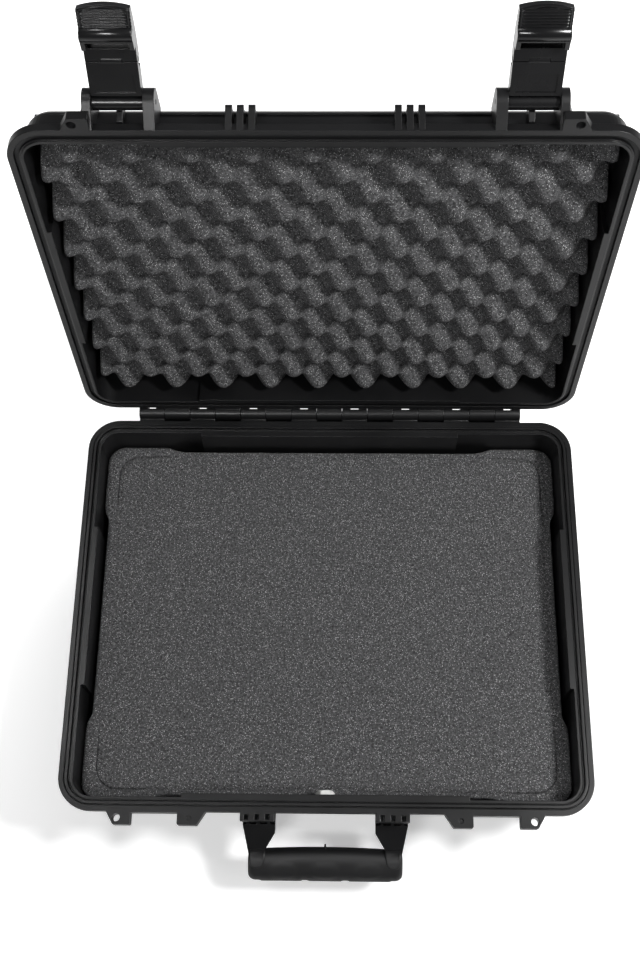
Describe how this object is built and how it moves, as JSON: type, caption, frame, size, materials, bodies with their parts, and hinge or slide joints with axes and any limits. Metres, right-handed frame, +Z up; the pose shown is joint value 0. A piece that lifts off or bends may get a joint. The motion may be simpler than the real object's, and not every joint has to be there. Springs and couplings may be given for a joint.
{
  "type": "laptop hard case",
  "caption": "Rugged rectangular hard case for a laptop with a hinged lid, two draw latches, a swinging carry handle and foam lining in base and lid.",
  "frame": {"origin": "the middle of the base's underside, on the middle standing rib", "axes": "+X across the case to the right as seen from its front, +Y from the handle towards the hinge, +Z up"},
  "size_m": [0.474, 0.5224, 0.5725],
  "materials": {
    "shell": "moulded polypropylene with a fine satin texture, black",
    "latch": "moulded nylon, black, satin",
    "handle_frame": "moulded nylon, black, satin",
    "handle_grip": "soft overmoulded rubber, black, matt",
    "foam": "open-cell polyurethane foam, dark grey",
    "seal": "soft silicone cord, black",
    "steel": "stainless steel, drawn rod",
    "nut": "moulded nylon, natural white",
    "membrane": "breathing membrane, white",
    "valve": "moulded nylon, black"
  },
  "bodies": {
    "base": {"base_shell": "shell", "hinge_pin": "steel", "left_handle_pin": "steel", "right_handle_pin": "steel", "base_foam_pad": "foam", "base_foam_frame": "foam", "valve_body": "valve", "valve_nut": "nut", "valve_ring": "seal", "valve_membrane": "membrane", "valve_cap": "valve"},
    "lid": {"lid_shell": "shell", "lid_seal": "seal", "lid_foam": "foam", "left_ear_pin": "steel", "right_ear_pin": "steel"},
    "plug": {"base_foam_plug": "foam"},
    "handle": {"handle_frame": "handle_frame", "handle_grip": "handle_grip"},
    "left_link": {"left_latch_link": "latch", "left_lever_pin": "steel"},
    "left_lever": {"left_latch_lever": "latch"},
    "right_link": {"right_latch_link": "latch", "right_lever_pin": "steel"},
    "right_lever": {"right_latch_lever": "latch"}
  },
  "joints": [
    {"name": "lid_swing", "type": "hinge", "parent": "base", "child": "lid", "pos_m": [0, 0.198, 0.10415], "axis": [1, 0, 0], "range_deg": [0, 96]},
    {"name": "handle_swing", "type": "hinge", "parent": "base", "child": "handle", "pos_m": [0, -0.187, 0.072], "axis": [1, 0, 0], "range_deg": [-40, 55]},
    {"name": "plug_lift", "type": "slide", "parent": "base", "child": "plug", "axis": [0, 0, 1], "range_m": [0, 0.035]},
    {"name": "left_link_swing", "type": "hinge", "parent": "lid", "child": "left_link", "pos_m": [-0.15, 0.25937, 0.49528], "axis": [1, 0, 0], "range_deg": [-26, 104]},
    {"name": "left_lever_swing", "type": "hinge", "parent": "left_link", "child": "left_lever", "pos_m": [-0.15, 0.271, 0.52723], "axis": [1, 0, 0], "range_deg": [-70, 0]},
    {"name": "right_link_swing", "type": "hinge", "parent": "lid", "child": "right_link", "pos_m": [0.15, 0.25937, 0.49528], "axis": [1, 0, 0], "range_deg": [-26, 104]},
    {"name": "right_lever_swing", "type": "hinge", "parent": "right_link", "child": "right_lever", "pos_m": [0.15, 0.271, 0.52723], "axis": [1, 0, 0], "range_deg": [-70, 0]}
  ]
}
